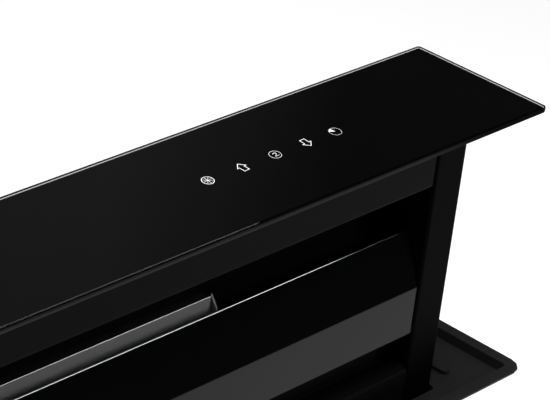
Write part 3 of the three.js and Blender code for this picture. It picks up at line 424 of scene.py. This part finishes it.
def pan_head(shape, radius=3.5):
    """Pan head with a cross recess: the two rings of the recess are drawn in between its four arms."""
    height, steps = 0.6 * radius, 24
    brim, floor_edge = (0.42 * radius, height), (0.3 * radius, 0.45 * height)
    spun(shape, [(0, 0), (radius, 0), (radius, 0.25 * height), (0.86 * radius, 0.72 * height),
                 (0.58 * radius, height), brim, floor_edge, (0, 0.4 * height)], steps)
    for vert in shape.verts:
        away = Vector((vert.co.x, vert.co.y))
        in_recess = any((Vector((away.length, vert.co.z)) - Vector(ring) * MM).length < 1e-6
                        for ring in (brim, floor_edge))
        on_arm = round(math.atan2(away.y, away.x) / TURN * steps) % 6 == 0
        if in_recess and not on_arm:
            vert.co.x *= CROSS_WEB
            vert.co.y *= CROSS_WEB


def hex_bolt(shape, across=10.0):
    """Hexagon head, chamfered, on a flat washer."""
    washer, thickness = 0.95 * across, 1.2
    spun(shape, [(0, 0), (washer, 0), (washer, 0.9), (washer - 0.3, thickness), (0, thickness)], 28)
    corner, chamfer, top = across / math.sqrt(3), thickness + 0.34 * across, thickness + 0.42 * across
    spun(shape, [(0, thickness), (corner, thickness), (corner, chamfer), (0.86 * corner, top), (0, top)], 6)


def blind_rivet(shape):
    """A domed head with a hollow where its mandrel broke off."""
    radius = 3.2
    spun(shape, [(0, 0), (radius, 0), (radius, 0.25), (0.8 * radius, 0.8), (0.45 * radius, 1.15),
                 (0.32 * radius, 1.15), (0.28 * radius, 0.7), (0, 0.7)], 16)


def fasteners(name, draw, places, facing, finish="steel", body="housing"):
    """One piece of equal fasteners. Each is drawn on Z, then turned a little on and laid along `facing`."""
    shape = bmesh.new()
    upright = Vector(facing).to_track_quat("Z", "Y").to_matrix().to_4x4()
    for number, place in enumerate(places):
        before = set(shape.verts)
        draw(shape)
        fresh = [vert for vert in shape.verts if vert not in before]
        matrix = Matrix.Translation(Vector(place)) @ upright @ Matrix.Rotation(0.7 * number, 4, "Z")
        bmesh.ops.transform(shape, matrix=matrix, verts=fresh)
    finished(name, shape, finish, body, smooth=0.5)


# ---------------------------------------------------------------- glass: black print and touch symbols
PRINT_INSET = 1.35 * MM
PRINT_LIFT = 0.05 * MM  # over the underside of the glass
PRINT_THICKNESS = 0.1 * MM
INK = 0.03 * MM  # how far the edge's ink stands on both sides of the glass's face
CORNER = 3.4 * MM  # where the glass's rounded corners begin

SYMBOL_LIFT = PRINT_LIFT + PRINT_THICKNESS + 0.02 * MM
SYMBOL_THICKNESS = 0.05 * MM
SYMBOL_LINE = 0.6 * MM
SYMBOL_RADIUS = 4.9 * MM
SYMBOL_ROW = glass_middle.y + 1.8 * MM
SYMBOL_SKEW = Matrix(((1, 0.08, 0), (0.08, 1, 0), (0, 0, 1)))  # drawn out a little towards the back right

print_shape = bmesh.new()
slab(print_shape, (glass_low.x + PRINT_INSET, glass_low.y + PRINT_INSET, glass_low.z + PRINT_LIFT),
     (glass_high.x - PRINT_INSET, glass_high.y - PRINT_INSET, glass_low.z + PRINT_LIFT + PRINT_THICKNESS))
finished("glass_print", print_shape, "print", "tower")

# Ink strips on the ground edge; their finish paints a highlight towards the edge's foot.
edge_shape = bmesh.new()
edge_low = Vector((glass_low.x, glass_low.y, GROUND_MIDDLE - GROUND_EDGE / 2))
edge_high = Vector((glass_high.x, glass_high.y, GROUND_MIDDLE + GROUND_EDGE / 2))
for y in (edge_low.y, edge_high.y):
    slab(edge_shape, (edge_low.x + CORNER, y - INK, edge_low.z),
         (edge_high.x - CORNER, y + INK, edge_high.z))
for x in (edge_low.x, edge_high.x):
    slab(edge_shape, (x - INK, edge_low.y + CORNER, edge_low.z),
         (x + INK, edge_high.y - CORNER, edge_high.z))
finished("glass_edge_ink_painted_highlight", edge_shape, "edge", "tower")


def thickened(shape):
    """Gives the flat faces drawn at z 0 the print's thickness."""
    made = bmesh.ops.extrude_face_region(shape, geom=shape.faces[:])["geom"]
    bmesh.ops.translate(shape, vec=(0, 0, SYMBOL_THICKNESS), verts=verts_of(made))


def outlined(shape, faces, line):
    """Leaves only a border of the given faces."""
    shape.normal_update()
    bmesh.ops.inset_region(shape, faces=faces, thickness=line, use_boundary=True, use_even_offset=True)
    bmesh.ops.delete(shape, geom=faces, context="FACES")


def symbol_ring(shape, line):
    bmesh.ops.create_circle(shape, cap_ends=True, radius=SYMBOL_RADIUS, segments=40)
    outlined(shape, shape.faces[:], line)


def flat_bar(shape, start, end, line):
    """A straight stroke with square ends."""
    start, end = Vector((*start, 0)), Vector((*end, 0))
    run = end - start
    matrix = (Matrix.Translation((start + end) / 2) @ Matrix.Rotation(math.atan2(run.y, run.x), 4, "Z")
              @ Matrix.Diagonal((run.length / 2, line / 2, 1, 1)))
    bmesh.ops.create_grid(shape, x_segments=1, y_segments=1, size=1, matrix=matrix)


def fan_symbol(shape):
    """A ring with eight thin spokes that end inside it."""
    symbol_ring(shape, 0.8 * SYMBOL_LINE)
    for step in range(4):
        angle = step * TURN / 8
        tip = Vector((math.cos(angle), math.sin(angle))) * SYMBOL_RADIUS * 0.78
        flat_bar(shape, -tip, tip, 0.5 * SYMBOL_LINE)


def arrow_symbol(shape):
    """The outline of a broad arrow."""
    head, neck = SYMBOL_RADIUS, 0.52 * SYMBOL_RADIUS
    tip, wing, tail = 1.08 * SYMBOL_RADIUS, 0.05 * SYMBOL_RADIUS, -1.02 * SYMBOL_RADIUS
    left = [(-head, wing), (-neck, wing), (-neck, tail)]
    outline = [(0, tip), *left, *[(-x, y) for x, y in reversed(left)]]
    face = shape.faces.new([shape.verts.new((x, y, 0)) for x, y in outline])
    outlined(shape, [face], 0.8 * SYMBOL_LINE)


def down_arrow_symbol(shape):
    arrow_symbol(shape)
    bmesh.ops.rotate(shape, cent=(0, 0, 0), matrix=Matrix.Rotation(math.pi, 3, "Z"), verts=shape.verts)


def speed_symbol(shape):
    """A ring round a figure 2, drawn as a bow, a slope and a foot, with round joints."""
    symbol_ring(shape, 0.45 * SYMBOL_LINE)
    size = 0.36 * SYMBOL_RADIUS
    stroke = 0.5 * SYMBOL_LINE
    angles = [math.radians(degrees) for degrees in (150, 120, 90, 55, 20, -15, -40)]
    path = [(0.95 * size * math.cos(angle), size * (0.55 + 0.6 * math.sin(angle))) for angle in angles]
    path += [(-0.8 * size, -1.15 * size), (1.1 * size, -1.15 * size)]
    for start, end in zip(path, path[1:]):
        flat_bar(shape, start, end, stroke)
        bmesh.ops.create_circle(shape, cap_ends=True, radius=stroke / 2, segments=12,
                                matrix=Matrix.Translation((*end, 0)))


def timer_symbol(shape):
    """A thin ring with one filled slice."""
    symbol_ring(shape, 0.33 * SYMBOL_LINE)
    angles = [math.radians(degrees) for degrees in range(100, 146, 9)]
    slice_edge = [(SYMBOL_RADIUS * math.cos(angle), SYMBOL_RADIUS * math.sin(angle)) for angle in angles]
    shape.faces.new([shape.verts.new((x, y, 0)) for x, y in [(0, 0), *slice_edge]])


# Each symbol's place is in millimetres to the right of the glass's middle.
SYMBOLS = [("fan", fan_symbol, 160.5), ("raise", arrow_symbol, 192.8), ("speed", speed_symbol, 224.4),
           ("lower", down_arrow_symbol, 255.0), ("timer", timer_symbol, 284.2)]
for name, draw, aside in SYMBOLS:
    symbol = bmesh.new()
    draw(symbol)
    thickened(symbol)
    place = Matrix.Translation((aside * MM, SYMBOL_ROW, glass_low.z + SYMBOL_LIFT))
    bmesh.ops.transform(symbol, matrix=place @ SYMBOL_SKEW.to_4x4(), verts=symbol.verts)
    finished(name + "_symbol", symbol, "symbols", "tower")


# ---------------------------------------------------------------- front panel: bright nosing on its top edge
NOSE_RADIUS = 0.74 * MM
NOSE_BACK, NOSE_DROP = 0.7 * MM, 0.26 * MM  # its axis before the panel's back and under its top
NOSE_SHORT = 0.3 * MM  # what it falls short of the panel at each end

panel_low, panel_high, _ = corners("front_panel")
nose_start = Vector((panel_low.x + NOSE_SHORT, panel_high.y - NOSE_BACK, panel_high.z - NOSE_DROP))
nose_length = panel_high.x - panel_low.x - 2 * NOSE_SHORT
round_bar("panel_nosing", nose_start, nose_length, NOSE_RADIUS, 28, "front_panel")


# ---------------------------------------------------------------- filter: expanded mesh and a bead on top
# Places are measured on the leaning filter, from the top of its front face.
WINDOW_WIDTH, WINDOW_HEIGHT = 298 * MM, 68 * MM
WINDOW_PLACE = (0, 1 * MM, -48 * MM)
CELL_WIDTH, CELL_HEIGHT = 12 * MM, 6 * MM
STRAND_WIDTH, STRAND_DEPTH = 0.55 * MM, 0.35 * MM
BEAD_RADIUS = 0.45 * MM
BEAD_SHORT = 1.5 * MM  # what it falls short of the filter at each end

filter_place = Matrix.Translation(FILTER_TOP) @ Matrix.Rotation(-FILTER_LEAN, 4, "X")


def expanded_mesh(shape):
    """Diamonds: a grid gets diagonals and loses its straight edges. Each diamond keeps only its border."""
    across, up = round(WINDOW_WIDTH / CELL_WIDTH), round(WINDOW_HEIGHT / CELL_HEIGHT)
    bmesh.ops.create_grid(shape, x_segments=across, y_segments=up, size=0.5,
                          matrix=Matrix.Diagonal((WINDOW_WIDTH, WINDOW_HEIGHT, 1, 1)))
    straight = [edge for edge in shape.edges if not edge.is_boundary]
    bmesh.ops.poke(shape, faces=shape.faces)
    bmesh.ops.dissolve_edges(shape, edges=straight, use_verts=False)
    diamonds = shape.faces[:]
    bmesh.ops.inset_individual(shape, faces=diamonds, thickness=STRAND_WIDTH, use_even_offset=True)
    bmesh.ops.delete(shape, geom=diamonds, context="FACES")
    bmesh.ops.solidify(shape, geom=shape.faces[:], thickness=STRAND_DEPTH)


mesh_shape = bmesh.new()
expanded_mesh(mesh_shape)
mesh_place = filter_place @ Matrix.Translation(WINDOW_PLACE) @ Matrix.Rotation(math.pi / 2, 4, "X")
bmesh.ops.transform(mesh_shape, verts=mesh_shape.verts, matrix=mesh_place)
finished("filter_mesh", mesh_shape, "mesh", "filter", smooth=0.4)

bead_start = filter_place @ Vector((BEAD_SHORT - filter_high.x, 0.25 * MM, -0.3 * MM))
round_bar("filter_bead", bead_start, 2 * (filter_high.x - BEAD_SHORT), BEAD_RADIUS, 20, "filter")


# ---------------------------------------------------------------- housing: rivets, bolts and screws
end_low, end_high, end_middle = corners("right_end_wall")
SHEET, GAP, PLATE = 1.5 * MM, 0.3 * MM, 3 * MM  # wall, room between pieces, bracket steel
wall_end = end_low.x + SHEET
RIVET_COLUMN, RIVET_ROW = wall_end - 7 * MM, end_low.z + 9 * MM
RIVET_HEIGHTS = range(40, 601, 112)  # up both columns, in millimetres from the walls' foot
RIVET_STEPS = range(-340, 341, 136)  # along the row at the foot, in millimetres from the middle

rivet_places = [(side * RIVET_COLUMN, end_low.z + height * MM)
                for side in (-1, 1) for height in RIVET_HEIGHTS]
rivet_places += [(step * MM, RIVET_ROW) for step in RIVET_STEPS]
WALL_FACES = [("front", end_low.y - GAP - SHEET, (0, -1, 0)), ("back", end_high.y + GAP + SHEET, (0, 1, 0))]
for wall, face, facing in WALL_FACES:
    fasteners(wall + "_wall_rivets", blind_rivet, [(x, face, z) for x, z in rivet_places], facing)

BRACKET_BOLT_RISE, BRACKET_BOLT_ASIDE = 62 * MM, 32 * MM
FRONT_SCREW_INSET, BACK_SCREW_INSET = 22 * MM, 18 * MM  # in a bracket's foot, from its two ends
CLAMP_BOLT_RISE = 18 * MM
RAIL_SCREW_HEIGHTS = (150 * MM, 330 * MM, 510 * MM)

for side, sign in (("right", 1), ("left", -1)):
    bracket_low, bracket_high, bracket_middle = corners(side + "_floor_bracket")
    clamp_low, _, clamp_middle = corners(side + "_worktop_clamp")
    rail_middle = corners(side + "_guide_rail")[2]
    web = sign * (wall_end + GAP + PLATE)
    outward = (sign, 0, 0)
    fasteners(side + "_bracket_bolts", hex_bolt,
              [(web, end_middle.y + step * BRACKET_BOLT_ASIDE, bracket_low.z + BRACKET_BOLT_RISE)
               for step in (-1, 1)], outward)
    fasteners(side + "_foot_screws", lambda shape: pan_head(shape, 4.5),
              [(bracket_middle.x, y, bracket_low.z + PLATE) for y in (
                  bracket_low.y + FRONT_SCREW_INSET, bracket_middle.y, bracket_high.y - BACK_SCREW_INSET)],
              (0, 0, 1))
    fasteners(side + "_clamp_bolt", lambda shape: hex_bolt(shape, 8.0),
              [(web, clamp_middle.y, clamp_low.z + CLAMP_BOLT_RISE)], outward)
    fasteners(side + "_rail_screws", pan_head,
              [(sign * wall_end, rail_middle.y, height) for height in RAIL_SCREW_HEIGHTS], outward)


# ---------------------------------------------------------------- blower: screws, motor feet and bolts
TONGUE_RADIUS, SCROLL_RADIUS = 88 * MM, 155 * MM
SPIRAL_START, SPIRAL_END = 45, -270  # degrees: the scroll's spiral grows from its tongue to its straight top
RIM_OUT = 5.4 * MM  # how far outside the scroll its rim screws stand
RIM_THICKNESS = 2.5 * MM
MOTOR_FEET_RADIUS, MOTOR_FEET_SUNK = 60 * MM, 3 * MM  # round the axis; behind the foremost part of the scroll
MOTOR_FOOT_HEIGHT = 5.6  # in millimetres, as spun() takes it
COLLAR_FLANGE = 3 * MM
COLLAR_SCREW_ASIDE, COLLAR_SCREW_STEP = 63.5 * MM, 38 * MM

wheel_middle = corners("impeller")[2]
scroll_low, scroll_high, _ = corners("scroll_front")
rim_face = scroll_high.y - RIM_THICKNESS
motor_face = scroll_low.y + MOTOR_FEET_SUNK


def round_wheel(radius, degrees, y):
    """A place round the wheel's axis."""
    angle = math.radians(degrees)
    return wheel_middle.x + radius * math.cos(angle), y, wheel_middle.z + radius * math.sin(angle)


def on_rim(degrees):
    """A place on the spiral flange of the scroll."""
    share = (SPIRAL_START - degrees) / (SPIRAL_START - SPIRAL_END)
    return round_wheel(TONGUE_RADIUS + (SCROLL_RADIUS - TONGUE_RADIUS) * share + RIM_OUT, degrees, rim_face)


rim_places = [on_rim(degrees) for degrees in range(0, SPIRAL_END - 1, -30)]
rim_places += [(x * MM, rim_face, wheel_middle.z + SCROLL_RADIUS + RIM_OUT) for x in (30, 90)]
fasteners("scroll_rim_screws", lambda shape: pan_head(shape, 2.4), rim_places, (0, -1, 0))


def motor_foot(shape):
    """Rubber bush under a bolt."""
    spun(shape, [(0, 0), (8, 0), (8.4, 1), (7.4, 2.2), (7.4, 3.4), (8.4, 4.6), (8, MOTOR_FOOT_HEIGHT),
                 (0, MOTOR_FOOT_HEIGHT)], 28)


foot_places = [round_wheel(MOTOR_FEET_RADIUS, degrees, motor_face) for degrees in (90, 210, 330)]
bolt_places = [(x, y - MOTOR_FOOT_HEIGHT * MM, z) for x, y, z in foot_places]
fasteners("motor_feet", motor_foot, foot_places, (0, -1, 0), "rubber")
fasteners("motor_bolts", lambda shape: hex_bolt(shape, 6.0), bolt_places, (0, -1, 0))

adapter_low, _, adapter_middle = corners("outlet_adapter")
collar_places = [(adapter_low.x + COLLAR_FLANGE, adapter_middle.y + side * COLLAR_SCREW_ASIDE,
                  adapter_middle.z + step * COLLAR_SCREW_STEP) for side in (-1, 1) for step in (-1, 0, 1)]
fasteners("collar_screws", lambda shape: pan_head(shape, 2.6), collar_places, (1, 0, 0))


# ---------------------------------------------------------------- control box: lid screws and louvres
LID_CORNER = 6 * MM  # from the lid's edges to its screws
LID_RAISED = 2 * MM  # its middle stands this far before its rim
LOUVRE_HALF = (17 * MM, 1.7 * MM, 1.5 * MM)
LOUVRES, LOUVRE_STEP = 6, 7 * MM
LOUVRE_ASIDE, LOUVRE_RISE = 32 * MM, 30 * MM  # the lowest one's middle, from the lid's right foot corner

lid_low, lid_high, _ = corners("control_box_lid")
fasteners("lid_screws", lambda shape: pan_head(shape, 3.0),
          [(x, lid_low.y + LID_RAISED, z) for x in (lid_low.x + LID_CORNER, lid_high.x - LID_CORNER)
           for z in (lid_low.z + LID_CORNER, lid_high.z - LID_CORNER)], (0, -1, 0))

louvres = bmesh.new()
for row in range(LOUVRES):
    middle = (lid_high.x - LOUVRE_ASIDE, lid_low.y, lid_low.z + LOUVRE_RISE + row * LOUVRE_STEP)
    bmesh.ops.create_uvsphere(louvres, u_segments=24, v_segments=12, radius=1,
                              matrix=Matrix.Translation(middle) @ Matrix.Diagonal((*LOUVRE_HALF, 1)))
finished("lid_louvres", louvres, "black", "housing", smooth=1.0)


# ---------------------------------------------------------------- tower: screws in the back panel
BACK_SCREW_COLUMN = 6.2 * MM  # from the back panel's ends
BACK_SCREW_RISES = (38 * MM, 118 * MM, 198 * MM)

back_low, back_high, _ = corners("back_panel")
fasteners("back_panel_screws", lambda shape: pan_head(shape, 3.0),
          [(side * (back_high.x - BACK_SCREW_COLUMN), back_high.y, back_low.z + rise)
           for side in (-1, 1) for rise in BACK_SCREW_RISES],
          (0, 1, 0), "satin", "tower")


# ---------------------------------------------------------------- light
AIM = Vector((0, 0.08, 0.75))


def softbox(name, place, size, power, aim=AIM, shape="RECTANGLE", roll=0.0):
    """A soft lamp that faces `aim`, rolled by some degrees."""
    light = bpy.data.lights.new(name, "AREA")
    light.shape = shape
    light.size = size[0]
    if shape == "RECTANGLE":
        light.size_y = size[1]
    light.energy = power
    lamp = bpy.data.objects.new(name, light)
    bpy.context.scene.collection.objects.link(lamp)
    lamp.location = place
    facing = (Vector(aim) - Vector(place)).to_track_quat("-Z", "Y").to_matrix()
    lamp.rotation_euler = (facing @ Matrix.Rotation(math.radians(roll), 3, "Z")).to_euler()


def around(azimuth, elevation, distance):
    """A place round AIM: azimuth in degrees from +Y towards +X, elevation in degrees."""
    azimuth, elevation = math.radians(azimuth), math.radians(elevation)
    level, rise = distance * math.cos(elevation), distance * math.sin(elevation)
    return AIM + Vector((level * math.sin(azimuth), level * math.cos(azimuth), rise))


softbox("overhead", around(-130, 82, 3.4), (2.6, 2.6), 112)
softbox("arris_light", (1.72, 0.15, 3.6), (1.8, 1.8), 8, aim=(1.72, 0.15, 0), shape="DISK")
softbox("front_right", around(140.3, 24, 4.2), (1.46, 1.2), 26, roll=-17.2)
softbox("left_side", around(-80, 35, 4.2), (1.8, 1.8), 50)
softbox("behind", around(-20, 38, 4.4), (2.0, 1.6), 50)

# The room is dim. It is brighter at the picture's left than at its right, as the glass top shows.
RIGHT_SHARE, LEFT_SHARE = 0.42, 1.64

world = bpy.data.worlds.new("studio")
world.use_nodes = True
bpy.context.scene.world = world
sky = Finish("studio", world.node_tree)
direction = sky.node("TexCoord", out="Generated")
height = sky.node("SeparateXYZ", {}, {"Vector": direction}, out="Z")
stops = [(0.45, 0.04), (0.73, 0.06), (1.0, 0.04)]
tone = sky.node("ValToRGB", {"stops": stops}, {"Fac": height * 0.5 + 0.5})
to_the_left = {0: direction, 1: (-math.cos(YAW), math.sin(YAW), 0)}
leftward = sky.node("VectorMath", {"operation": "DOT_PRODUCT"}, to_the_left, out="Value")
share = sky.blend(sky.clamped((leftward + 0.02) * 12), grey(RIGHT_SHARE), grey(LEFT_SHARE))
room = sky.node("Background", {}, {"Color": sky.blend(1.0, tone, share, "MULTIPLY"), "Strength": 1.0})
sky.node("OutputWorld", {}, {"Surface": room})

# The floor glows white for the camera, for reflections and through glass, and keeps the vent's shadow.
floor_finish = Finish("pale_floor")
rays = sum(floor_finish.node("LightPath", out=f"Is {kind} Ray")
           for kind in ("Camera", "Glossy", "Transmission"))
floor_tone = floor_finish.blend(floor_finish.noise(3), grey(0.68), grey(0.7))
paint = floor_finish.node("BsdfDiffuse", {}, {"Color": floor_tone})
glow = floor_finish.node("Emission", {}, {"Color": grey(1.0), "Strength": rays * 0.55})
floor_finish.node("OutputMaterial", {}, {"Surface": floor_finish.node("AddShader", {}, {0: paint, 1: glow})})
floor_shape = bmesh.new()
bmesh.ops.create_circle(floor_shape, cap_ends=True, radius=12, segments=96)
floor_mesh = bpy.data.meshes.new("floor")
floor_shape.to_mesh(floor_mesh)
floor_shape.free()
floor_mesh.materials.append(floor_finish.material)
floor = bpy.data.objects.new("floor", floor_mesh)
bpy.context.scene.collection.objects.link(floor)

bpy.context.scene.view_settings.view_transform = "Standard"
